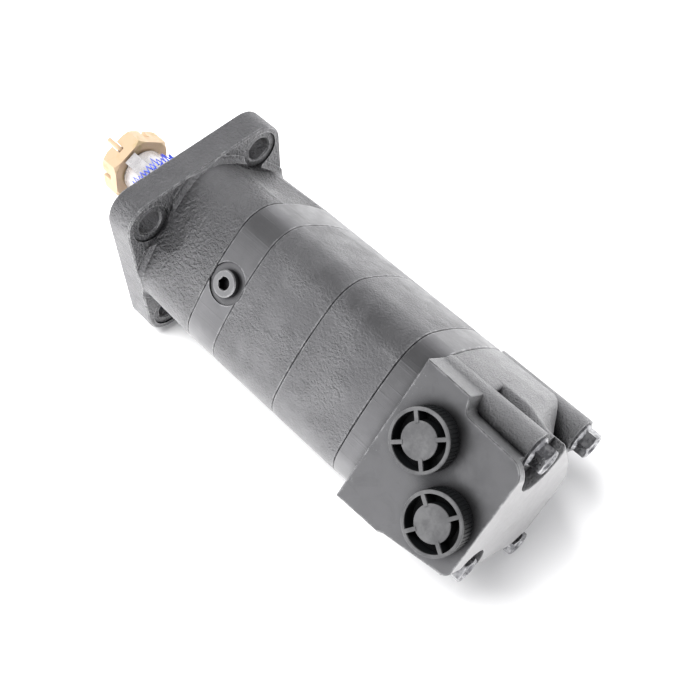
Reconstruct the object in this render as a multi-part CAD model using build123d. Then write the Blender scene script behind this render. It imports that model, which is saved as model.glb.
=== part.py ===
"""Orbital disc-valve hydraulic motor, millimetres.

The motor is built along X: the mounting face is at x = 0, the output shaft points to -X and the valve
housing is at +X. Pieces are drawn with Z as the direction the port pad faces, and Y sideways, and are then
turned 45 degrees about X, so that the flange's sides end up level and upright.
"""
from build123d import *
from math import atan2, cos, degrees, hypot, pi, radians, sin, tan
import os

# ---- driving dimensions ------------------------------------------------------------------------------
FLANGE_SIDE = 104.5
FLANGE_THICK = 17.0
FLANGE_CORNER = 14.8
BOLT_CIRCLE = 106.4
FLANGE_HOLE_R = 6.8
SPOTFACE_R = 11.2
PILOT_R = 41.275
PILOT_HEIGHT = 2.8
FLANGE_EDGE = 0.8         # broken edges of the flange and its holes
SPOTFACE_DEPTH = 0.9

BODY_HALF = 45.4          # half of the body's width across its flats
BODY_CROWN = 160.0        # radius of the slightly crowned flats
BODY_CORNER = 20.0
JOINT_CHAMFER = 0.5
BARREL_HALF = 44.2        # the mounting housing is a little narrower at the flange
SKIRT_R = 4.0             # cast fillet between the barrel and the flange
SKIRT_SINK = 0.4          # how far the fillet's thin end runs in under the barrel's skin
DISH_R = 30.0             # hollow in the port side for a flange bolt's head
DISH_X = 22.0
DISH_BOTTOM = 42.0
CHANNEL_R = 100.0         # long shallow channel in the other two flats
CHANNEL_BOTTOM = 41.9
X_SPACER = 58.9           # front faces of the stacked sections, from the mounting face back
X_LINK = 79.3
X_RING = 124.5
X_PLATE = 168.9
X_VALVE = 184.6
X_REAR = 250.0

TIE_OFFSET = 32.6         # through bolts stand at plus and minus this, both ways
TIE_R = 3.97
TIE_HOLE_R = 4.3
TIE_SEAT_X = 242.6
TIE_AF = 12.7
TIE_FLANGE_R = 8.2
BOSS_R = 10.0
POCKET_R = {(1, 1): 17.0, (1, -1): 12.0, (-1, 1): 12.0, (-1, -1): 10.4}   # socket room behind each boss
SEAL_CIRCLE = 38.7        # section O-rings
SEAL_CORD_R = 1.1

PAD_Z = 54.46             # the port pad's height above the shaft axis
SHOULDER_X = 211.0        # the valve housing's full section ends here and its corners drop to the bosses
VALVE_HALF = 45.1
VALVE_CORNER = 18.4
CORE_START_X = 205.0
CORE_TURN_X = 222.0       # the core behind the full section narrows from here
CORE_SLIM_X = 241.0       # to here, in CORE_STEPS steps
CORE_STEPS = 7
CORE_FRONT = [(31, 30), (44, 20), (45.2, -2), (43.8, -24), (24, -43.8), (0, -45.2), (-24, -43.8),
              (-43.8, -24), (-45.2, -2), (-44, 20), (-31, 30)]
CORE_REAR = [(31, 30), (39.5, 17), (33.5, 3), (27, -10), (14, -30), (-4, -32.5), (-23, -32), (-32, -20),
             (-33, 0), (-34, 17), (-31, 30)]
# the pad's outline: distance along the shaft, distance sideways, corner radius
PAD_OUTLINE = [(184.6, -39.7, 0), (211.0, -38.9, 0), (214.0, -37.5, 0), (250.0, -32.2, 5.0),
               (250.0, 30.6, 9.0), (213.2, 32.2, 4.0), (210.4, 40.1, 0.8), (184.6, 40.9, 0)]
PORT_A = (206.0, 12.6)
PORT_B = (232.4, -12.6)
PORT_R = 10.15            # minor radius of the 7/8-14 port thread
PORT_DEPTH = 21.0
PORT_MOUTH_R = 12.4
PORT_MOUTH_DEPTH = 1.3
PORT_RELIEF_R = 11.2      # clearance over the first turns of the thread
PORT_RELIEF_DEPTH = 7.0

DRAIN_X = 69.6
DRAIN_SPOT_R = 11.2
DRAIN_HEAD_R = 7.15
DRAIN_THREAD_R = 5.55
DRAIN_HEAD_PROUD = 2.7

ROLLER_COUNT = 7
ROLLER_CIRCLE = 30.0      # radius of the circle of gear-ring rollers
ROLLER_R = 6.4
ECCENTRICITY = 2.7
ROLLING_GAP = 0.08
LINK_FRONT_X = 46.0       # middles of the drive links' crowned ends
LINK_REAR_X = 138.0
VALVE_LINK_FRONT_X = 158.0
VALVE_LINK_REAR_X = 192.5
CHAMBER_R = 32.0          # the valve housing's stepped bore
CHAMBER_END = 202.0
SMALL_CHAMBER_R = 24.0
SMALL_CHAMBER_END = 220.0

TAPER_LARGE_R = 15.875
TAPER_START_X = -7.0
NUT_FACE_X = -47.2
NUT_AF = 36.5
NUT_END_X = -59.6
NUT_SLOT_X = -52.8        # floor of the nut's slots
NUT_SLOT_WIDTH = 3.6
COTTER_X = -54.5
COTTER_R = 1.4
KEY_ANGLE = 22.0          # from the port side towards +Y
KEY_WIDTH = 7.94
KEY_TOP = 16.5
SHAFT_END_X = -60.5

PLUG_R = 15.06
PLUG_HEIGHT = 11.1
PLUG_TURN_A = 42.0        # how far each port plug's spokes are turned
PLUG_TURN_B = 55.0

TURN_TO_ROW = Rot(45, 0, 0)


# ---- shared helpers ----------------------------------------------------------------------------------
def bar(x0, x1, r, y=0.0, z=0.0):
    """Solid cylinder along X."""
    return Pos((x0 + x1) / 2, y, z) * Rot(0, 90, 0) * Cylinder(r, x1 - x0)


def tube(x0, x1, r_out, r_in, y=0.0, z=0.0):
    return bar(x0, x1, r_out, y, z) - bar(x0 - 1, x1 + 1, r_in, y, z)


def post(z0, z1, r, x=0.0, y=0.0):
    """Solid cylinder along Z."""
    return Pos(x, y, (z0 + z1) / 2) * Cylinder(r, z1 - z0)


def turned(*points):
    """Solid of revolution about X from (x, radius) points."""
    return revolve(make_face(Polyline(*points, close=True)), Axis.X)


def block(x0, x1, y0, y1, z0, z1):
    return Pos((x0 + x1) / 2, (y0 + y1) / 2, (z0 + z1) / 2) * Box(x1 - x0, y1 - y0, z1 - z0)


def prism_x(sketch, x0, x1):
    return extrude(Plane.YZ.offset(x0) * sketch, amount=x1 - x0)


def hexagon(across_flats, turn=0.0):
    return Rot(0, 0, turn) * RegularPolygon(across_flats / 2, 6, major_radius=False)


def corners():
    return [(sy * TIE_OFFSET, sz * TIE_OFFSET) for sy in (1, -1) for sz in (1, -1)]


def around(count, start=0.0):
    return [start + 360.0 * i / count for i in range(count)]


def union(solids):
    result = solids[0]
    for solid in solids[1:]:
        result = result + solid
    return result


def body_outline(half=BODY_HALF, corner=BODY_CORNER):
    """Rounded square whose four sides are slightly crowned."""
    shift = BODY_CROWN - half
    outline = Pos(shift, 0) * Circle(BODY_CROWN)
    for place in (Pos(-shift, 0), Pos(0, shift), Pos(0, -shift)):
        outline = outline & (place * Circle(BODY_CROWN))
    return fillet(outline.vertices(), corner)


def section(x0, x1, half=BODY_HALF, corner=BODY_CORNER, chamfer_front=True, chamfer_rear=True):
    """One slice of the motor's stacked body, with its seam edges broken."""
    solid = prism_x(body_outline(half, corner), x0, x1)
    faces = solid.faces().sort_by(Axis.X)
    edges = []
    if chamfer_front:
        edges += list(faces[0].edges())
    if chamfer_rear:
        edges += list(faces[-1].edges())
    return chamfer(edges, JOINT_CHAMFER)


def tie_holes(x0, x1, r=TIE_HOLE_R):
    return union([bar(x0, x1, r, y, z) for y, z in corners()])


def seal_groove(x_face, side):
    """Face groove for a section O-ring; side is +1 when it opens towards +X."""
    depth = 2 * SEAL_CORD_R
    x0 = x_face - depth if side > 0 else x_face - 0.5
    x1 = x_face + 0.5 if side > 0 else x_face + depth
    return tube(x0, x1, SEAL_CIRCLE + SEAL_CORD_R + 0.15, SEAL_CIRCLE - SEAL_CORD_R - 0.15)


# ---- bearings ----------------------------------------------------------------------------------------
class TaperBearing:
    """Taper roller bearing along X; the cone's big end is towards +X when lean is positive."""

    def __init__(self, x0, x1, r_in, r_out, roller_r, lean, count):
        self.x0, self.x1, self.r_in, self.r_out = x0, x1, r_in, r_out
        self.roller_r, self.lean, self.count = roller_r, lean, count
        self.middle_r = (r_in + r_out) / 2 + 0.4
        self.middle_x = (x0 + x1) / 2
        self.length = (x1 - x0) - 4.4

    def race_r(self, x, side):
        offset = side * (self.roller_r + 0.05) / cos(radians(self.lean))
        return self.middle_r + offset + (x - self.middle_x) * tan(radians(self.lean))

    def cone(self):
        a, b = self.x0, self.x1
        return turned((a, self.r_in), (b, self.r_in), (b, self.race_r(b, -1)), (a, self.race_r(a, -1)))

    def cup(self):
        a, b = self.x0, self.x1
        return turned((a, self.r_out), (b, self.r_out), (b, self.race_r(b, 1)), (a, self.race_r(a, 1)))

    def roller(self, extra_r=0.0, extra_length=0.0):
        cylinder = Rot(0, 90, 0) * Cylinder(self.roller_r + extra_r, self.length + extra_length)
        return Pos(self.middle_x, 0, self.middle_r) * Rot(0, -self.lean, 0) * cylinder

    def rollers(self, extra_r=0.0, extra_length=0.0):
        one = self.roller(extra_r, extra_length)
        return [Rot(angle, 0, 0) * one for angle in around(self.count)]

    def cage(self):
        a, b = self.x0 + 1.0, self.x1 - 1.0
        slope = tan(radians(self.lean))
        low = [self.middle_r - 0.7 + (x - self.middle_x) * slope for x in (a, b)]
        shell = turned((a, low[0]), (b, low[1]), (b, low[1] + 1.4), (a, low[0] + 1.4))
        for pocket in self.rollers(0.2, 0.5):
            shell = shell - pocket
        return shell


FRONT_BEARING = TaperBearing(12.5, 29.5, 17.5, 31.0, 2.9, -11.0, 18)
REAR_BEARING = TaperBearing(36.5, 53.5, 20.0, 34.0, 3.0, 11.0, 19)


# ---- static pieces -----------------------------------------------------------------------------------
def flange_prism(x0, x1):
    outline = Rot(0, 0, 45) * RectangleRounded(FLANGE_SIDE, FLANGE_SIDE, FLANGE_CORNER)
    return prism_x(outline, x0, x1)


def flange_hole_places():
    r = BOLT_CIRCLE / 2
    return [(r, 0.0), (0.0, r), (-r, 0.0), (0.0, -r)]


def junction_skirt():
    """Cast fillet where the barrel meets the flange, lofted through points of its curve."""
    outlines = [Plane.YZ.offset(FLANGE_THICK - 0.5) * body_outline(BARREL_HALF + SKIRT_R, BODY_CORNER)]
    for share in (0.0, 0.25, 0.5, 0.75, 1.0):
        angle = radians(90 * share)
        x = FLANGE_THICK + SKIRT_R * (1 - cos(angle))
        half = BARREL_HALF + SKIRT_R * (1 - sin(angle)) - SKIRT_SINK * share
        outlines.append(Plane.YZ.offset(x) * body_outline(half, BODY_CORNER))
    return loft(outlines) & flange_prism(FLANGE_THICK - 1, FLANGE_THICK + 2 * SKIRT_R)


def bolt_reliefs():
    """Room for the flange bolts' heads: a hollow in the port side and its back, channels in the flats."""
    high = DISH_BOTTOM + DISH_R
    wide = CHANNEL_BOTTOM + CHANNEL_R
    x0 = FLANGE_THICK + SKIRT_R / 2
    dishes = Pos(DISH_X, 0, high) * Sphere(DISH_R) + Pos(DISH_X, 0, -high) * Sphere(DISH_R)
    return dishes + bar(x0, X_SPACER + 1, CHANNEL_R, wide, 0) + bar(x0, X_SPACER + 1, CHANNEL_R, -wide, 0)


def flange_hole():
    """Through hole, broken at its spot-faced rim, with the spot face above it."""
    rim = FLANGE_THICK - SPOTFACE_DEPTH
    return turned((-1, 0), (-1, FLANGE_HOLE_R), (rim - FLANGE_EDGE, FLANGE_HOLE_R),
                  (rim, FLANGE_HOLE_R + FLANGE_EDGE), (rim, SPOTFACE_R), (DISH_X, SPOTFACE_R), (DISH_X, 0))


def mounting_housing():
    flange = flange_prism(0, FLANGE_THICK)
    ends = flange.faces().sort_by(Axis.X)
    flange = chamfer(ends[0].edges() + ends[-1].edges(), FLANGE_EDGE)
    front = Plane.YZ.offset(FLANGE_THICK - 1) * body_outline(BARREL_HALF, BODY_CORNER)
    back = Plane.YZ.offset(X_SPACER) * body_outline()
    barrel = loft([front, back])
    barrel = chamfer(barrel.faces().sort_by(Axis.X)[-1].edges(), JOINT_CHAMFER)
    shell = flange + ((barrel + junction_skirt()) - bolt_reliefs())
    lead = 0.4
    shell = shell + turned((0, 0), (-PILOT_HEIGHT, 0), (-PILOT_HEIGHT, PILOT_R - lead),
                           (-PILOT_HEIGHT + lead, PILOT_R), (1, PILOT_R), (1, 0))
    for y, z in flange_hole_places():
        shell = shell - Pos(0, y, z) * flange_hole()
    bore = turned((-4, 0), (-4, 26.0), (1.2, 26.0), (1.2, 27.3), (2.7, 27.3), (2.7, 26.0), (10.5, 26.0),
                  (10.5, 23.5), (12.4, 23.5), (12.4, 31.02), (30.0, 31.02), (30.0, 27.5), (36.4, 27.5),
                  (36.4, 34.02), (X_SPACER + 1, 34.02), (X_SPACER + 1, 0))
    shell = shell - bore - tie_holes(30, X_SPACER + 1, TIE_R + 0.04)
    return shell - seal_groove(X_SPACER, 1)


def drain_hole(clear_bottom):
    """Threaded hole with its recess, cut down from above the body's flat."""
    spot_floor = BODY_HALF - 1.0
    hole = post(clear_bottom, PAD_Z, DRAIN_THREAD_R, DRAIN_X)
    return hole + post(spot_floor, PAD_Z, DRAIN_SPOT_R, DRAIN_X)


def drain_spacer():
    ring = section(X_SPACER, X_LINK) - bar(X_SPACER - 1, X_LINK + 1, 30.0)
    ring = ring - tie_holes(X_SPACER - 1, X_LINK + 1)
    return ring - drain_hole(20.0) - seal_groove(X_LINK, 1)


def link_housing():
    bore = turned((X_LINK - 1, 0), (X_LINK - 1, 30.0), (X_LINK + 8, 30.0), (X_LINK + 14, 24.0),
                  (X_RING - 10, 24.0), (X_RING - 10, 20.0), (X_RING + 1, 20.0), (X_RING + 1, 0))
    ring = section(X_LINK, X_RING) - bore - tie_holes(X_LINK - 1, X_RING + 1)
    recess = post(BODY_HALF - 1.0, PAD_Z, DRAIN_SPOT_R, DRAIN_X)
    return ring - recess - seal_groove(X_RING, 1)


def roller_places():
    return [(ROLLER_CIRCLE * cos(radians(a)), ROLLER_CIRCLE * sin(radians(a))) for a in around(ROLLER_COUNT)]


def gear_ring():
    ring = section(X_RING, X_PLATE) - tie_holes(X_RING - 1, X_PLATE + 1)
    ring = ring - bar(X_RING - 1, X_PLATE + 1, ROLLER_CIRCLE + 0.3)
    for y, z in roller_places():
        ring = ring - bar(X_RING - 1, X_PLATE + 1, ROLLER_R + 0.03, y, z)
    return ring


def gear_rollers():
    return Compound([bar(X_RING + 0.05, X_PLATE - 0.05, ROLLER_R, y, z) for y, z in roller_places()])


def valve_plate():
    plate = section(X_PLATE, X_VALVE) - tie_holes(X_PLATE - 1, X_VALVE + 1)
    plate = plate - bar(X_PLATE - 1, X_VALVE + 1, 14.0)
    for angle in around(ROLLER_COUNT, 180.0 / ROLLER_COUNT):
        y, z = 24.5 * cos(radians(angle)), 24.5 * sin(radians(angle))
        plate = plate - bar(X_PLATE - 1, X_VALVE + 1, 3.2, y, z)
    return plate - seal_groove(X_PLATE, -1) - seal_groove(X_VALVE, 1)


def pad_block():
    """The raised port pad, stepped in beside the boss on its +Y side."""
    outline = make_face(Polyline(*[(x, y) for x, y, _ in PAD_OUTLINE], close=True))
    for x, y, radius in PAD_OUTLINE:
        if radius:
            corner = outline.vertices().sort_by_distance((x, y, 0))[0]
            outline = fillet(corner, radius)
    pad = extrude(Pos(0, 0, 12.0) * outline, amount=PAD_Z - 12.0)
    return chamfer(pad.faces().sort_by(Axis.Z)[-1].edges(), 0.5)


def core_outline(share):
    """Outline of the casting behind the full section, between its front and its rear shape."""
    points = [(fy + (ry - fy) * share, fz + (rz - fz) * share)
              for (fy, fz), (ry, rz) in zip(CORE_FRONT, CORE_REAR)]
    outline = make_face(Polyline(*points, close=True))
    return fillet(outline.vertices(), 3.0)


def rear_core():
    """The casting between the bosses: it narrows towards the rear face, gently at both ends."""
    stations = [(CORE_START_X, 0.0)]
    for i in range(CORE_STEPS + 1):
        part = i / CORE_STEPS
        x = CORE_TURN_X + (CORE_SLIM_X - CORE_TURN_X) * part
        stations.append((x, part * part * (3 - 2 * part)))
    stations.append((X_REAR, 1.0))
    core = loft([Plane.YZ.offset(x) * core_outline(share) for x, share in stations], ruled=True)
    return fillet(core.faces().sort_by(Axis.X)[-1].edges(), 2.5)


def port_hole(place, bottom):
    x, y = place
    floor = PAD_Z - PORT_DEPTH
    hole = post(floor, PAD_Z + 1, PORT_R, x, y)
    hole = hole + post(PAD_Z - PORT_RELIEF_DEPTH, PAD_Z + 1, PORT_RELIEF_R, x, y)
    upward = (Align.CENTER, Align.CENTER, Align.MIN)
    mouth = Cone(PORT_RELIEF_R, PORT_MOUTH_R, PORT_MOUTH_DEPTH, align=upward)
    hole = hole + Pos(x, y, PAD_Z - PORT_MOUTH_DEPTH) * mouth
    return hole + post(bottom, floor + 1, 6.0, x, y)


def valve_housing():
    front = section(X_VALVE, SHOULDER_X, VALVE_HALF, VALVE_CORNER, chamfer_rear=False)
    front = fillet(front.faces().sort_by(Axis.X)[-1].edges(), 2.5)
    shell = front + rear_core() + pad_block()
    for y, z in corners():
        shell = shell + bar(X_VALVE + JOINT_CHAMFER, TIE_SEAT_X, BOSS_R, y, z)
    for (side, height), radius in POCKET_R.items():
        shell = shell - bar(TIE_SEAT_X, X_REAR + 5, radius, side * TIE_OFFSET, height * TIE_OFFSET)
    shell = shell - tie_holes(X_VALVE - 1, X_REAR)
    chamber = turned((X_VALVE - 1, 0), (X_VALVE - 1, CHAMBER_R), (CHAMBER_END, CHAMBER_R),
                     (CHAMBER_END, SMALL_CHAMBER_R), (SMALL_CHAMBER_END, SMALL_CHAMBER_R),
                     (SMALL_CHAMBER_END, 0))
    shell = shell - chamber
    shell = shell - port_hole(PORT_A, 18.0) - port_hole(PORT_B, 14.0)
    shell = shell - bar(SMALL_CHAMBER_END - 2, PORT_B[0], 4.5, PORT_B[1], 18.0)
    for y in (-9.0, 9.0):
        shell = shell - bar(SMALL_CHAMBER_END - 1, SMALL_CHAMBER_END + 6, 1.6, y, -16.0)
    return shell


def tie_bolts():
    x_end = 33.0
    bolts = []
    for i, (y, z) in enumerate(corners()):
        shank = bar(x_end, TIE_SEAT_X, TIE_R, y, z)
        flange = Pos(0, y, z) * turned((TIE_SEAT_X, 0), (TIE_SEAT_X, TIE_FLANGE_R),
                                       (TIE_SEAT_X + 1.0, TIE_FLANGE_R), (TIE_SEAT_X + 2.4, 6.6),
                                       (TIE_SEAT_X + 2.4, 0))
        hexagonal = Pos(0, y, z) * prism_x(hexagon(TIE_AF, 12 + 23 * i), TIE_SEAT_X + 1, TIE_SEAT_X + 8.4)
        rounding = Pos(0, y, z) * turned((TIE_SEAT_X, 0), (TIE_SEAT_X, 9), (TIE_SEAT_X + 7.6, 7.4),
                                         (TIE_SEAT_X + 8.4, 6.2), (TIE_SEAT_X + 8.4, 0))
        dish = Pos(0, y, z) * turned((TIE_SEAT_X + 7.6, 0), (TIE_SEAT_X + 7.6, 4.2), (TIE_SEAT_X + 9, 5.0),
                                     (TIE_SEAT_X + 9, 0))
        bolts.append(shank + flange + (hexagonal & rounding) - dish)
    return Compound(bolts)


def section_seals():
    centres = [X_SPACER - SEAL_CORD_R, X_LINK - SEAL_CORD_R, X_RING - SEAL_CORD_R,
               X_PLATE + SEAL_CORD_R, X_VALVE - SEAL_CORD_R]
    return Compound([Pos(x, 0, 0) * Rot(0, 90, 0) * Torus(SEAL_CIRCLE, SEAL_CORD_R - 0.05) for x in centres])


def drain_plug():
    floor = BODY_HALF - 1.0
    top = BODY_HALF + DRAIN_HEAD_PROUD
    head = post(floor + 0.05, top, DRAIN_HEAD_R, DRAIN_X)
    head = chamfer(head.faces().sort_by(Axis.Z)[-1].edges(), 0.6)
    plug = head + post(31.0, floor + 1, DRAIN_THREAD_R - 0.05, DRAIN_X)
    socket = Pos(DRAIN_X, 0, top - 4.2) * extrude(hexagon(6.35, 10), amount=6)
    entry = Pos(DRAIN_X, 0, top - 0.5) * Cone(3.2, 4.0, 1.0, align=(Align.CENTER, Align.CENTER, Align.MIN))
    return plug - socket - entry - drain_seal(0.05)


def drain_seal(extra=0.0):
    return Pos(DRAIN_X, 0, 43.2) * Torus(DRAIN_THREAD_R - 0.78, 0.74 + extra)


def shaft_seal():
    shell = turned((2.8, 17.62), (2.8, 26.0), (9.8, 26.0), (9.8, 24.6), (4.6, 24.6), (4.6, 20.0),
                   (9.0, 20.0), (9.0, 17.62))
    return shell


def seal_snap_ring():
    ring = tube(1.3, 2.6, 27.1, 23.0)
    return ring - block(0, 4, -3.5, 3.5, -30, 0)


def dust_wiper():
    return turned((-2.6, 17.6), (-2.6, 19.2), (-1.0, 22.0), (-1.0, 25.95), (1.1, 25.95), (1.1, 17.6))


# ---- output shaft assembly ---------------------------------------------------------------------------
def taper_r(x):
    return TAPER_LARGE_R + (x - TAPER_START_X) / 16.0


def at_shaft_angle(solid, angle):
    """Turn a piece drawn on the port side (+Z) to an angle towards +Y."""
    return Rot(-angle, 0, 0) * solid


def key_block(extra=0.0):
    x0, x1 = NUT_FACE_X + 0.6, -18.0
    half = KEY_WIDTH / 2 + extra
    solid = block(x0 - extra, x1 + extra, -half, half, taper_r(x0) - 4.2, KEY_TOP)
    return at_shaft_angle(solid, KEY_ANGLE)


def shaft():
    thread_r, relief_r = 12.65, 11.6
    bore_r = 12.9
    solid = turned((SHAFT_END_X, 0), (SHAFT_END_X, thread_r - 1.4), (SHAFT_END_X + 1.4, thread_r),
                   (NUT_FACE_X - 2.0, thread_r), (NUT_FACE_X - 1.2, relief_r), (NUT_FACE_X + 0.4, relief_r),
                   (NUT_FACE_X + 1.0, taper_r(NUT_FACE_X)), (TAPER_START_X, TAPER_LARGE_R),
                   (-3.6, TAPER_LARGE_R),
                   (-3.0, 17.5), (29.5, 17.5), (29.5, 22.4), (36.5, 22.4), (36.5, 20.0), (53.5, 20.0),
                   (53.5, 19.5), (58.3, 19.5), (58.3, bore_r + 1), (57.0, bore_r), (33.0, bore_r), (31.0, 0))
    solid = solid - key_block(0.02)
    pin_hole = at_shaft_angle(post(-20, 20, 2.1, COTTER_X), KEY_ANGLE)
    return solid - pin_hole


def castle_nut():
    """Slotted hex nut: its chamfered face bears on the taper's washer side, six slots at the free end."""
    face = NUT_FACE_X - 0.05
    corner_r = NUT_AF / 2 / cos(radians(30))
    body = prism_x(Rot(0, 0, 90 - KEY_ANGLE) * hexagon(NUT_AF, 30), NUT_END_X, face)
    rounding = turned((face, 0), (face, corner_r - 2.0), (face - 1.4, corner_r), (NUT_END_X + 1.2, corner_r),
                      (NUT_END_X, corner_r - 1.8), (NUT_END_X, 0))
    nut = (body & rounding) - bar(NUT_END_X - 1, face + 1, 12.7)
    half = NUT_SLOT_WIDTH / 2
    for angle in (0, 60, 120):
        slot = block(NUT_END_X - 1, NUT_SLOT_X, -half, half, -25, 25)
        nut = nut - at_shaft_angle(slot, KEY_ANGLE + angle)
    return nut


def cotter_pin():
    """Split pin through the nut's slots: round eye at one end, the legs bent forward at the other."""
    eye = Pos(COTTER_X, 0, -21.4) * Rot(90, 0, 0) * Torus(2.4, COTTER_R * 0.75)
    path = Polyline((COTTER_X, 0, -19.6), (COTTER_X, 0, 18.2), (-63.6, 0, 19.4))
    path = fillet(path.vertices().sort_by(Axis.Z)[1], 2.0)
    legs = sweep(Plane(origin=path @ 0, z_dir=path % 0) * Circle(COTTER_R), path)
    return at_shaft_angle(eye + legs, KEY_ANGLE)


def lock_nut():
    nut = tube(53.6, 58.2, 25.5, 19.55)
    for angle in around(4):
        nut = nut - Rot(angle, 0, 0) * block(53, 59, -2.2, 2.2, 23.2, 27)
    return nut


def net_sleeve():
    return tube(-37.0, -5.0, 18.1, 17.2)


# ---- drive train -------------------------------------------------------------------------------------
def link_between(x0, y0, x1, y1, solid, x_ref):
    """Lay a turned piece, drawn along X from x_ref, on the line between two points in the XY plane."""
    angle = degrees(atan2(y1 - y0, x1 - x0))
    return Pos(x0, y0, 0) * Rot(0, 0, angle) * Pos(-x_ref, 0, 0) * solid


def main_drive_link():
    a, b = LINK_FRONT_X, LINK_REAR_X
    solid = turned((a - 9, 0), (a - 9, 9.4), (a - 7, 11.6), (a, 12.2), (a + 7, 11.6), (a + 11, 8.8),
                   (b - 12, 8.8), (b - 8, 11.4), (b, 12.0), (b + 7, 11.4), (b + 9, 9.4), (b + 9, 0))
    return link_between(a, 0, b, ECCENTRICITY, solid, a)


def valve_drive_link():
    a, b = VALVE_LINK_FRONT_X, VALVE_LINK_REAR_X
    solid = turned((a - 7, 0), (a - 7, 8.4), (a - 5, 10.4), (a, 10.9), (a + 5, 10.2), (a + 8, 7.0),
                   (b - 8, 7.0), (b - 5, 8.6), (b, 9.2), (b + 5, 8.6), (b + 6, 7.0), (b + 6, 0))
    return link_between(a, ECCENTRICITY, b, 0, solid, a)


def star_point(angle):
    """Point of the star's flank: the rollers' path seen from the star, moved in by the roller's radius."""
    teeth = ROLLER_COUNT
    px = ROLLER_CIRCLE * cos(angle) - ECCENTRICITY * cos(teeth * angle)
    py = ROLLER_CIRCLE * sin(angle) - ECCENTRICITY * sin(teeth * angle)
    tx = -ROLLER_CIRCLE * sin(angle) + teeth * ECCENTRICITY * sin(teeth * angle)
    ty = ROLLER_CIRCLE * cos(angle) - teeth * ECCENTRICITY * cos(teeth * angle)
    inward = (ROLLER_R + ROLLING_GAP) / hypot(tx, ty)
    return (px - ty * inward, py + tx * inward)


def star_rotor():
    lobes = ROLLER_COUNT - 1
    points = [star_point(2 * pi * i / (lobes * 16)) for i in range(lobes * 16)]
    outline = make_face(Spline(*points, periodic=True))
    star = Pos(0, ECCENTRICITY, 0) * prism_x(outline, X_RING + 0.1, X_PLATE - 0.1)
    return star - bar(X_RING - 1, X_PLATE + 1, 12.9, ECCENTRICITY, 0)


def disc_valve():
    disc = turned((X_VALVE + 0.1, 10.2), (X_VALVE + 0.1, 30.5), (X_VALVE + 11, 30.5), (X_VALVE + 11, 21.0),
                  (X_VALVE + 15, 21.0), (X_VALVE + 15, 10.2))
    for i, angle in enumerate(around(12)):
        y, z = 24.5 * cos(radians(angle)), 24.5 * sin(radians(angle))
        depth = X_VALVE + (12 if i % 2 else 6)
        disc = disc - bar(X_VALVE - 1, depth, 2.6, y, z)
    return disc


def balance_ring():
    x0 = X_VALVE + 15.1
    ring = turned((x0, 14.0), (x0, 21.0), (x0 + 4, 21.0), (x0 + 4, 23.9), (x0 + 12, 23.9), (x0 + 12, 12.0),
                  (x0 + 4, 12.0), (x0 + 4, 14.0))
    groove = tube(x0 + 7, x0 + 9.4, 26.0, 22.0)
    ring = ring - groove
    for y in (-9.0, 9.0):
        ring = ring - bar(x0 + 8, x0 + 13, 1.6, y, -16.0)
    return ring


def balance_ring_seal():
    return tube(X_VALVE + 22.2, X_VALVE + 24.4, 23.95, 22.1)


def balance_pins():
    x0 = X_VALVE + 15.1 + 8.2
    return Compound([bar(x0, SMALL_CHAMBER_END + 5.6, 1.5, y, -16.0) for y in (-9.0, 9.0)])


def balance_springs():
    x0, x1, turns = X_VALVE + 27.3, SMALL_CHAMBER_END - 0.2, 4
    wire_r, coil_r = 0.5, 2.4
    height = x1 - x0 - 2 * wire_r
    path = Helix(height / turns, height, coil_r)
    coil = sweep(Plane(origin=path @ 0, z_dir=path % 0) * Circle(wire_r), path, is_frenet=True)
    springs = []
    for angle in around(3, 90.0):
        y, z = 18.0 * cos(radians(angle)), 18.0 * sin(radians(angle))
        springs.append(Pos(x0 + wire_r, y, z) * Rot(0, 90, 0) * coil)
    return Compound(springs)


# ---- transport plugs ---------------------------------------------------------------------------------
def port_plug(place, spoke_turn):
    """Plastic screw plug: knurled rim, four spokes and a round boss over a hollow threaded spigot."""
    x, y = place
    base, top = PAD_Z + 0.1, PAD_Z + PLUG_HEIGHT
    rim_in, boss_r, spoke = 13.4, 9.0, 1.9
    rim = post(base, top, PLUG_R, 0, 0)
    rim = chamfer(rim.faces().sort_by(Axis.Z)[-1].edges(), 0.4)
    notch = post(base + 1.2, top - 1.6, 0.42, PLUG_R + 0.12, 0)
    knurl = union([Rot(0, 0, angle) * notch for angle in around(48)])
    rim = rim - knurl - post(base + 2.0, top + 1, rim_in)
    boss = post(base, top - 0.5, boss_r)
    boss = fillet(boss.faces().sort_by(Axis.Z)[-1].edges(), 0.5)
    spokes = union([Pos(0, 0, (base + top) / 2) * Box(2 * rim_in + 1, spoke, top - base),
                    Pos(0, 0, (base + top) / 2) * Box(spoke, 2 * rim_in + 1, top - base)])
    spokes = spokes - post(base - 1, top + 1, boss_r - 1)
    spigot_end = PAD_Z - PORT_RELIEF_DEPTH + 0.3
    spigot = post(spigot_end, base + 1, PORT_RELIEF_R - 0.1)
    spigot = spigot - post(spigot_end - 1, PAD_Z - 2.4, PORT_RELIEF_R - 2.4)
    plug = rim + boss + spokes + spigot - port_plug_seal((0, 0), 0.04)
    return Pos(x, y, 0) * Rot(0, 0, spoke_turn) * plug


def port_plug_seal(place, extra=0.0):
    x, y = place
    return Pos(x, y, PAD_Z - 0.9) * Torus(PORT_RELIEF_R - 0.7, 0.62 + extra)


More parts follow.
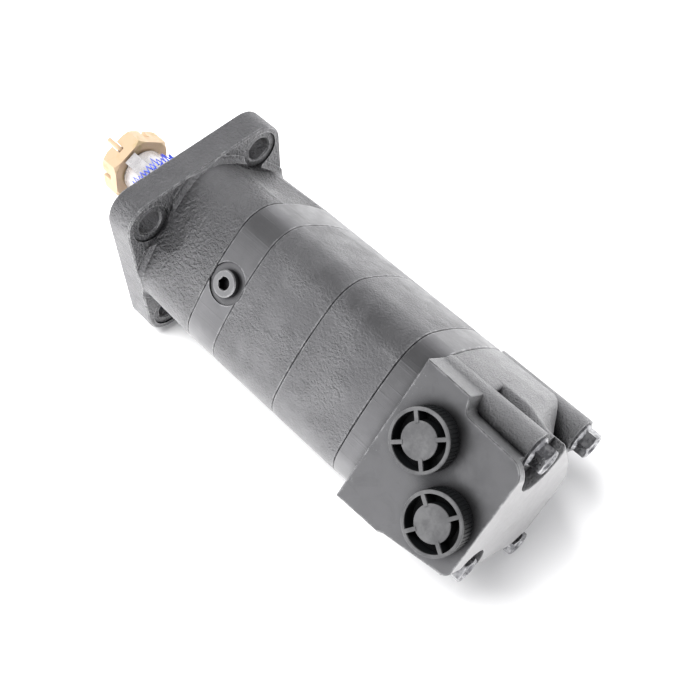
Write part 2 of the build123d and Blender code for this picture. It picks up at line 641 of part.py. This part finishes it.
# ---- writing -----------------------------------------------------------------------------------------
def build():
    nodes = {
        "mounting_housing": mounting_housing(),
        "drain_spacer": drain_spacer(),
        "link_housing": link_housing(),
        "gear_ring": gear_ring(),
        "gear_ring_rollers": gear_rollers(),
        "valve_plate": valve_plate(),
        "valve_housing": valve_housing(),
        "tie_bolts": tie_bolts(),
        "section_seals": section_seals(),
        "drain_plug": drain_plug(),
        "drain_plug_seal": drain_seal(),
        "shaft_seal": shaft_seal(),
        "seal_snap_ring": seal_snap_ring(),
        "dust_wiper": dust_wiper(),
        "front_bearing_cup": FRONT_BEARING.cup(),
        "rear_bearing_cup": REAR_BEARING.cup(),
        "front_bearing_cone": FRONT_BEARING.cone(),
        "rear_bearing_cone": REAR_BEARING.cone(),
        "front_bearing_cage": FRONT_BEARING.cage(),
        "rear_bearing_cage": REAR_BEARING.cage(),
        "front_bearing_rollers": Compound(FRONT_BEARING.rollers()),
        "rear_bearing_rollers": Compound(REAR_BEARING.rollers()),
        "output_shaft": shaft(),
        "shaft_key": key_block(),
        "castle_nut": castle_nut(),
        "cotter_pin": cotter_pin(),
        "bearing_lock_nut": lock_nut(),
        "shaft_net_sleeve": net_sleeve(),
        "main_drive_link": main_drive_link(),
        "valve_drive_link": valve_drive_link(),
        "star_rotor": star_rotor(),
        "disc_valve": disc_valve(),
        "balance_ring": balance_ring(),
        "balance_ring_seal": balance_ring_seal(),
        "balance_ring_pins": balance_pins(),
        "balance_ring_springs": balance_springs(),
        "port_plug_a": port_plug(PORT_A, PLUG_TURN_A),
        "port_plug_b": port_plug(PORT_B, PLUG_TURN_B),
        "port_plug_a_seal": port_plug_seal(PORT_A),
        "port_plug_b_seal": port_plug_seal(PORT_B),
    }
    os.makedirs("parts", exist_ok=True)
    for name, shape in nodes.items():
        placed = TURN_TO_ROW * shape
        placed.label = name
        export_step(placed, f"parts/{name}.step")


build()
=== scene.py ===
"""Looks for the hydraulic motor: materials for every CAD node, the net on the shaft, light and camera."""
import random
from math import cos, sin, radians, tau

import bpy
from mathutils import Matrix, Vector


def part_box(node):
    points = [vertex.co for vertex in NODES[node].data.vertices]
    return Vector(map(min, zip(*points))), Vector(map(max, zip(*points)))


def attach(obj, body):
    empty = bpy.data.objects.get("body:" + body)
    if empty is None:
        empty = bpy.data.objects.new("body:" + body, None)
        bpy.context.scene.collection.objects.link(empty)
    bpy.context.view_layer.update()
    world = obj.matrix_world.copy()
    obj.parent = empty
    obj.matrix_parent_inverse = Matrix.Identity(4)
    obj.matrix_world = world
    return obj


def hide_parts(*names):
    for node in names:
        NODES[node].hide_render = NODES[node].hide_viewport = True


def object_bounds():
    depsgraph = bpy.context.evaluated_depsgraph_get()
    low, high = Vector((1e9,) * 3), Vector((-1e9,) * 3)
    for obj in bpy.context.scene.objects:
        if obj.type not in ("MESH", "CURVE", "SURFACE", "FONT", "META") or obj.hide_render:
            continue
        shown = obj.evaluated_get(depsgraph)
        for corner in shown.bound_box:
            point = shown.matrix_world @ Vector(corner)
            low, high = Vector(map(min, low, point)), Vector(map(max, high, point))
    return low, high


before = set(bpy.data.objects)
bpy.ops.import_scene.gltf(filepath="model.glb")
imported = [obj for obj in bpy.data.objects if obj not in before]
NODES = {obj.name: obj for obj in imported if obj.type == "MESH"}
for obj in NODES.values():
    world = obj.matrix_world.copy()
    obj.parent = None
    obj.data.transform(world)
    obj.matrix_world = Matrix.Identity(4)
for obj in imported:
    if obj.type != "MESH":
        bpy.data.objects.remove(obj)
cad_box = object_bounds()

HALF_TURN = 0.70710678
PAD_NORMAL = (0.0, -HALF_TURN, HALF_TURN)     # the way the port pad and the plugs face


# ---- shader building blocks --------------------------------------------------------------------------
class Shader:
    """A Principled material and short ways to add procedural detail to it. Lengths are in metres."""

    def __init__(self, name, **values):
        self.material = bpy.data.materials.new(name)
        self.material.use_nodes = True
        self.tree = self.material.node_tree
        self.body = self.tree.nodes["Principled BSDF"]
        for socket, value in values.items():
            self.body.inputs[socket.replace("_", " ")].default_value = value
        self.coords = self.tree.nodes.new("ShaderNodeTexCoord").outputs["Object"]
        self.height = None

    def node(self, kind, **settings):
        made = self.tree.nodes.new(kind)
        for key, value in settings.items():
            setattr(made, key, value)
        return made

    def link(self, source, target):
        self.tree.links.new(source, target)

    def stretched(self, x, y, z):
        mapping = self.node("ShaderNodeMapping")
        mapping.inputs["Scale"].default_value = (x, y, z)
        self.link(self.coords, mapping.inputs["Vector"])
        return mapping.outputs["Vector"]

    def noise(self, size, detail=3.0, rough=0.55, coords=None, twist=0.0):
        made = self.node("ShaderNodeTexNoise")
        made.inputs["Scale"].default_value = 1.0 / size
        made.inputs["Detail"].default_value = detail
        made.inputs["Roughness"].default_value = rough
        made.inputs["Distortion"].default_value = twist
        self.link(coords or self.coords, made.inputs["Vector"])
        return made.outputs["Fac"]

    def along(self, direction):
        """Distance of the shaded point along a direction, from the origin of the CAD frame."""
        made = self.node("ShaderNodeVectorMath", operation="DOT_PRODUCT")
        self.link(self.coords, made.inputs[0])
        made.inputs[1].default_value = direction
        return made.outputs["Value"]

    def ramp(self, source, low, high, low_value=0.0, high_value=1.0):
        made = self.node("ShaderNodeMapRange", interpolation_type="SMOOTHSTEP")
        sockets = ("From Min", "From Max", "To Min", "To Max")
        for key, value in zip(sockets, (low, high, low_value, high_value)):
            made.inputs[key].default_value = value
        self.link(source, made.inputs["Value"])
        return made.outputs["Result"]

    def math(self, operation, a, b):
        made = self.node("ShaderNodeMath", operation=operation)
        for socket, value in zip(made.inputs, (a, b)):
            if isinstance(value, (int, float)):
                socket.default_value = value
            else:
                self.link(value, socket)
        return made.outputs["Value"]

    def mix(self, factor, first, second):
        made = self.node("ShaderNodeMix", data_type="RGBA")
        self.link(factor, made.inputs["Factor"])
        for socket, value in ((made.inputs[6], first), (made.inputs[7], second)):
            if isinstance(value, tuple):
                socket.default_value = (*value, 1.0)
            else:
                self.link(value, socket)
        return made.outputs[2]

    def colour(self, source):
        self.link(source, self.body.inputs["Base Color"])

    def hollow(self, reach):
        """How closed in the shaded point is: 1 in the open, towards 0 in a seam or a deep corner."""
        made = self.node("ShaderNodeAmbientOcclusion", samples=8)
        made.inputs["Distance"].default_value = reach
        return made.outputs["AO"]

    def edge(self, reach):
        """1 on an edge, 0 on flat and gently curved surface."""
        rounded = self.node("ShaderNodeBevel", samples=4)
        rounded.inputs["Radius"].default_value = reach
        made = self.node("ShaderNodeVectorMath", operation="DOT_PRODUCT")
        self.link(rounded.outputs["Normal"], made.inputs[0])
        self.link(self.node("ShaderNodeNewGeometry").outputs["Normal"], made.inputs[1])
        return self.ramp(made.outputs["Value"], 0.90, 0.993, 1.0, 0.0)

    def roughness(self, source):
        self.link(source, self.body.inputs["Roughness"])

    def bump(self, source, depth, strength=1.0):
        made = self.node("ShaderNodeBump")
        made.inputs["Strength"].default_value = strength
        made.inputs["Distance"].default_value = depth
        self.link(source, made.inputs["Height"])
        if self.height:
            self.link(self.height, made.inputs["Normal"])
        self.height = made.outputs["Normal"]
        self.link(self.height, self.body.inputs["Normal"])


# ---- materials ---------------------------------------------------------------------------------------
PAINT = (0.232, 0.231, 0.236)
PAINT_DARK = (0.200, 0.199, 0.204)
PAINT_SPECK = (0.340, 0.340, 0.345)
PAINT_PAD = (0.186, 0.186, 0.190)
PAINT_STAIN = (0.172, 0.172, 0.176)
# near black: painted shade in seams and corners
PAINT_CREVICE_SHADE = (0.030, 0.030, 0.032)
# pale edges: wear and a painted edge highlight
PAINT_RUBBED_AND_HIGHLIT = (0.620, 0.620, 0.625)
METAL_GRAIN = 0.0015
BLOTCH = 0.12              # how far bare metal's blotches stray from its colour


def paint(name, rough, light=PAINT, dark=PAINT_DARK):
    """Semi-gloss dark paint over iron, with cloudy tone and sheen."""
    s = Shader(name, Metallic=0.97, Roughness=rough)
    s.tone = s.mix(s.ramp(s.noise(0.022, 4.0), 0.32, 0.68), dark, light)
    s.roughness(s.ramp(s.noise(0.010, 5.0, 0.65), 0.3, 0.7, rough - 0.05, rough + 0.09))
    return s


def shaded_and_worn(s, tone):
    """Paint with painted shade in seams and corners, and rubbed pale on its open edges, which is wear and
    a painted edge highlight.
    """
    open_air = s.hollow(0.009)
    # pale rubbed edges in the open: wear and a painted edge highlight
    wear_and_highlight = s.math("MULTIPLY", s.edge(0.0012), s.ramp(open_air, 0.60, 0.85))
    wear_and_highlight = s.math("MULTIPLY", wear_and_highlight, s.ramp(s.noise(0.004, 4.0), 0.42, 0.62, 0.15, 0.9))
    rubbed = s.mix(wear_and_highlight, tone, PAINT_RUBBED_AND_HIGHLIT)
    # painted shade: the paint goes near black where ambient occlusion finds a seam, a socket or a deep
    # corner
    s.colour(s.mix(s.ramp(open_air, 0.35, 1.0), PAINT_CREVICE_SHADE, rubbed))


def skin(s, size, depth, where=None):
    """Casting skin: rounded grains with smaller ones on top."""
    coarse = s.noise(size, 2.0, 0.5)
    fine = s.noise(size * 0.42, 3.0, 0.6)
    if where:
        coarse = s.math("MULTIPLY", coarse, where)
        fine = s.math("MULTIPLY", fine, where)
    s.bump(coarse, depth)
    s.bump(fine, depth * 0.5)


def cast_paint():
    """Blasted casting skin of the mounting housing."""
    s = paint("cast_paint", 0.42)
    shaded_and_worn(s, s.tone)
    s.bump(s.noise(0.016, 3.0), 0.0007)
    skin(s, 0.0017, 0.00135)
    return s.material


def coarse_paint():
    """Leathery casting skin of the link housing and the gear ring, in patches."""
    s = paint("coarse_paint", 0.40)
    shaded_and_worn(s, s.tone)
    leather = s.ramp(s.noise(0.030, 3.0), 0.40, 0.60, 0.35, 1.0)
    skin(s, 0.0013, 0.00085, leather)
    return s.material


def smooth_paint():
    """Paint over machined faces, with fine lines along the shaft axis."""
    s = paint("smooth_paint", 0.36)
    shaded_and_worn(s, s.tone)
    lines = s.noise(0.0010, 2.0, 0.5, s.stretched(0.02, 1.0, 1.0))
    s.bump(s.ramp(lines, 0.55, 0.75), 0.00008, 0.6)
    s.bump(s.noise(0.0025, 3.0), 0.00008)
    return s.material


def valve_paint():
    """Valve housing in a lighter copy of the paint, which is painted light: fine cast skin, a milled grey
    port pad with faint stains, a milled rear face painted paler still, which is painted light.
    """
    # a lighter copy of the body paint: painted light
    s = paint("valve_paint", 0.38, (0.320, 0.319, 0.324), (0.285, 0.284, 0.289))
    pad = s.ramp(s.along(PAD_NORMAL), 0.0539, 0.0543)
    rear = s.ramp(s.along((1.0, 0.0, 0.0)), 0.2495, 0.2499)
    milled = s.math("MAXIMUM", pad, rear)
    stain = s.ramp(s.noise(0.013, 5.0, 0.65, twist=1.0), 0.50, 0.64)
    pad_tone = s.mix(stain, PAINT_PAD, PAINT_STAIN)
    speck = s.ramp(s.noise(0.0009, 2.0), 0.66, 0.72)
    # the rear face painted paler than the rest of the housing: painted light; the dark specks are its own
    lit_rear_tone = s.mix(speck, (0.430, 0.426, 0.430), (0.25, 0.25, 0.25))
    tone = s.mix(rear, s.mix(pad, s.tone, pad_tone), lit_rear_tone)
    crust = s.ramp(s.noise(0.0022, 5.0, 0.75), 0.60, 0.68)
    edge = s.ramp(s.along((1.0, 0.0, 0.0)), 0.1895, 0.1925, 1.0, 0.0)
    shaded_and_worn(s, s.mix(s.math("MULTIPLY", crust, edge), tone, PAINT_SPECK))
    cast = s.math("SUBTRACT", 1.0, milled)
    skin(s, 0.0011, 0.00100, cast)
    return s.material


def plug_paint():
    """Drain plug in a lighter grey copy of the paint, which is painted light, with painted shade in its
    socket.
    """
    # a lighter copy of the body paint: painted light
    s = paint("plug_paint", 0.36, (0.300, 0.299, 0.303), (0.270, 0.269, 0.273))
    shaded_and_worn(s, s.tone)
    return s.material


def uncoloured_metal(name, rough, grain, metallic):
    """The sheen and the fine scratches of bare or plated metal."""
    s = Shader(name, Metallic=metallic, Roughness=rough)
    s.roughness(s.ramp(s.noise(0.003, 4.0), 0.3, 0.7, rough * 0.8, rough * 1.3))
    s.bump(s.noise(grain, 4.0), 0.00004, 0.5)
    return s


def metal(name, colour, rough, metallic=1.0):
    """Metal with gentle blotches."""
    s = uncoloured_metal(name, rough, METAL_GRAIN, metallic)
    darker = tuple(c * (1.0 - BLOTCH) for c in colour)
    lighter = tuple(c * (1.0 + BLOTCH) for c in colour)
    s.colour(s.mix(s.ramp(s.noise(0.006, 4.0), 0.35, 0.65), darker, lighter))
    return s


def turned_steel():
    """Ground shaft: fine rings round the axis."""
    s = metal("turned_steel", (0.55, 0.535, 0.54), 0.28, metallic=0.6)
    rings = s.noise(0.0008, 3.0, 0.6, s.stretched(1.0, 0.02, 0.02))
    s.bump(rings, 0.00004, 0.5)
    return s.material


def yellow_zinc():
    """Yellow chromate: peach gold that drifts to green gold, with a light tumbled grain."""
    s = uncoloured_metal("yellow_zinc", 0.42, 0.0012, metallic=0.45)
    drift = s.ramp(s.noise(0.009, 3.0, twist=0.8), 0.48, 0.72)
    s.colour(s.mix(drift, (0.60, 0.44, 0.29), (0.47, 0.37, 0.20)))
    s.bump(s.noise(0.0007, 3.0), 0.00006, 0.6)
    return s.material


def bolt_steel():
    """Grey oxide on the bolt heads, with dark and rubbed patches."""
    s = uncoloured_metal("bolt_steel", 0.30, METAL_GRAIN, metallic=1.0)
    rubbed = s.ramp(s.noise(0.0045, 4.0, 0.6), 0.42, 0.64)
    s.colour(s.mix(rubbed, (0.19, 0.19, 0.20), (0.46, 0.46, 0.47)))
    s.bump(s.noise(0.0006, 3.0), 0.00010, 0.8)
    return s.material


def plug_plastic():
    """Moulded black plastic: dust and painted light on the outer faces, painted shade on the sides and in
    the pockets.
    """
    s = Shader("plug_plastic", Roughness=0.42, Specular_IOR_Level=0.3)
    bloom = s.ramp(s.noise(0.008, 5.0, 0.65), 0.35, 0.70)
    dusty_and_lit = s.mix(bloom, (0.062, 0.062, 0.064), (0.100, 0.100, 0.102))
    outer = s.ramp(s.along(PAD_NORMAL), 0.0643, 0.0649)
    # painted shade on the sides and in the pockets, dust and painted light on the outer faces
    s.colour(s.mix(outer, (0.006, 0.0065, 0.007), dusty_and_lit))
    s.roughness(s.ramp(s.noise(0.005, 4.0), 0.3, 0.7, 0.38, 0.55))
    s.bump(s.noise(0.0005, 2.0), 0.00003, 0.6)
    return s.material


def net_plastic():
    """Blue polyethylene net."""
    s = Shader("net_plastic", Roughness=0.38, Subsurface_Weight=0.15, Subsurface_Scale=0.001)
    s.colour(s.mix(s.ramp(s.noise(0.004, 3.0), 0.35, 0.65), (0.02, 0.045, 0.45), (0.06, 0.10, 0.62)))
    s.bump(s.noise(0.0008, 2.0), 0.00005, 0.6)
    return s.material


def rubber():
    """Black nitrile rubber, slightly dusty."""
    s = Shader("rubber", Roughness=0.55)
    s.colour(s.mix(s.ramp(s.noise(0.004, 4.0), 0.4, 0.65), (0.018, 0.018, 0.018), (0.045, 0.045, 0.045)))
    s.bump(s.noise(0.0006, 3.0), 0.00004, 0.6)
    return s.material


def dress_nodes():
    """Give every CAD node its material."""
    steel = metal("hardened_steel", (0.56, 0.56, 0.58), 0.25).material
    pressed = metal("pressed_steel", (0.48, 0.48, 0.49), 0.40).material
    bronze = metal("bronze", (0.62, 0.46, 0.25), 0.35).material
    cast, coarse, smooth, valve = cast_paint(), coarse_paint(), smooth_paint(), valve_paint()
    turned, zinc, bolt, drain = turned_steel(), yellow_zinc(), bolt_steel(), plug_paint()
    plastic, black = plug_plastic(), rubber()
    look = {
        "mounting_housing": cast, "drain_spacer": smooth, "link_housing": coarse, "gear_ring": coarse,
        "valve_plate": smooth, "valve_housing": valve, "drain_plug": drain, "tie_bolts": bolt,
        "output_shaft": turned, "shaft_key": turned, "castle_nut": zinc, "cotter_pin": zinc,
        "port_plug_a": plastic, "port_plug_b": plastic, "balance_ring": bronze,
        "front_bearing_cage": pressed, "rear_bearing_cage": pressed,
    }
    rubber_words = ("seal", "wiper")
    for name, node in NODES.items():
        is_rubber = any(word in name for word in rubber_words) and name != "seal_snap_ring"
        chosen = look.get(name, black if is_rubber else steel)
        for held in node.material_slots:
            held.material = chosen
        if not node.material_slots:
            node.data.materials.append(chosen)


# ---- the net on the shaft ----------------------------------------------------------------------------
NET_THREAD_R = 0.00035
NET_THREADS = 22            # threads that lean each way
NET_STEPS = 12
NET_TWIST = 1.1             # how far a thread winds round the shaft
NET_SPIKES = 46
NET_EDGE = 0.008            # the crossing threads start this far from the sleeve's free end


def net_strand(curve, points):
    """One thread through (distance along the shaft, angle, radius) points."""
    spline = curve.splines.new("POLY")
    spline.points.add(len(points) - 1)
    for held, (x, angle, radius) in zip(spline.points, points):
        held.co = (x, radius * cos(angle), radius * sin(angle), 1.0)


def shaft_net():
    """Crossing threads round the sleeve; the net's cut end stands up in uneven spikes."""
    low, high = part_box("shaft_net_sleeve")
    radius = (high[1] - low[1]) / 2 - 0.0006
    curve = bpy.data.curves.new("shaft_net", "CURVE")
    curve.dimensions = "3D"
    curve.bevel_depth = NET_THREAD_R
    curve.bevel_resolution = 2
    curve.use_fill_caps = True
    chance = random.Random(7)
    base = low[0] + NET_EDGE
    run = (high[0] - 0.001 - base) / NET_STEPS
    for i in range(NET_THREADS):
        for way in (1, -1):
            turn = way * NET_TWIST / NET_STEPS
            start = tau * i / NET_THREADS
            net_strand(curve, [(base + run * k, start + turn * k, radius) for k in range(NET_STEPS + 1)])
    for i in range(NET_SPIKES):
        angle = tau * i / NET_SPIKES
        tip = low[0] + chance.uniform(0.0004, 0.0050)
        lean = chance.uniform(-0.04, 0.04)
        puff = chance.uniform(-0.0004, 0.0002)
        peak = (tip, angle + 0.07 + lean, radius + puff)
        net_strand(curve, [(base, angle, radius), peak, (base, angle + 0.16, radius)])
    net = bpy.data.objects.new("shaft_net", curve)
    bpy.context.scene.collection.objects.link(net)
    curve.materials.append(net_plastic())
    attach(net, "shaft")
    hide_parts("shaft_net_sleeve")


# ---- floor, light and camera -------------------------------------------------------------------------
def floor():
    """A wide white floor under the lowest point of the motor."""
    bpy.ops.mesh.primitive_plane_add(size=12.0, location=(0, 0, cad_box[0][2]))
    plane = bpy.context.object
    plane.name = "floor"
    s = Shader("floor_white", Roughness=0.9, Specular_IOR_Level=0.1)
    s.colour(s.mix(s.noise(0.5, 2.0), (0.90, 0.90, 0.90), (0.93, 0.93, 0.93)))
    plane.data.materials.append(s.material)


def sky():
    """A bright band near the horizon and a dark ceiling, as in a light tent with an open top."""
    world = bpy.data.worlds.new("tent")
    bpy.context.scene.world = world
    world.use_nodes = True
    tree = world.node_tree
    coords = tree.nodes.new("ShaderNodeTexCoord")
    split = tree.nodes.new("ShaderNodeSeparateXYZ")
    ramp = tree.nodes.new("ShaderNodeValToRGB")
    tree.links.new(coords.outputs["Generated"], split.inputs["Vector"])
    tree.links.new(split.outputs["Z"], ramp.inputs["Fac"])
    tree.links.new(ramp.outputs["Color"], tree.nodes["Background"].inputs["Color"])
    stops = [(0.0, 1.0), (0.39, 0.84), (0.60, 0.44), (0.84, 0.21), (1.0, 0.19)]
    points = ramp.color_ramp.elements
    while len(points) < len(stops):
        points.new(0.5)
    for point, (place, value) in zip(points, stops):
        point.position = place
        point.color = (value, value, value * 1.02, 1.0)
    tree.nodes["Background"].inputs["Strength"].default_value = 1.6


def softbox(name, place, target, size, watts):
    """A large lamp that lights and shades the floor without a mirror image in the paint."""
    light = bpy.data.lights.new(name, "AREA")
    light.shape = "RECTANGLE"
    light.size, light.size_y = size
    light.energy = watts
    lamp = bpy.data.objects.new(name, light)
    lamp.location = place
    lamp.rotation_euler = (Vector(target) - Vector(place)).to_track_quat("-Z", "Y").to_euler()
    lamp.visible_glossy = False
    bpy.context.scene.collection.objects.link(lamp)


def camera():
    """Above and behind the valve housing, a little closer to the port side."""
    target = Vector((0.1267, -0.0003, 0.0))
    azimuth, elevation, roll = radians(-44.34), radians(57.12), radians(1.5)
    distance = 0.552
    forward = Vector((sin(azimuth) * cos(elevation), cos(azimuth) * cos(elevation), -sin(elevation)))
    data = bpy.data.cameras.new("camera")
    data.lens, data.sensor_width = 54.41, 36.0
    data.clip_start = 0.01
    view = bpy.data.objects.new("camera", data)
    turn = forward.to_track_quat("-Z", "Y").to_matrix() @ Matrix.Rotation(roll, 3, "Z")
    view.matrix_world = Matrix.Translation(target - forward * distance) @ turn.to_4x4()
    bpy.context.scene.collection.objects.link(view)
    bpy.context.scene.camera = view


dress_nodes()
shaft_net()
floor()
sky()
softbox("key", (-0.20, -0.40, 1.30), (0.1, 0, 0), (0.8, 0.8), 42)
camera()
bpy.context.scene.view_settings.view_transform = "Standard"
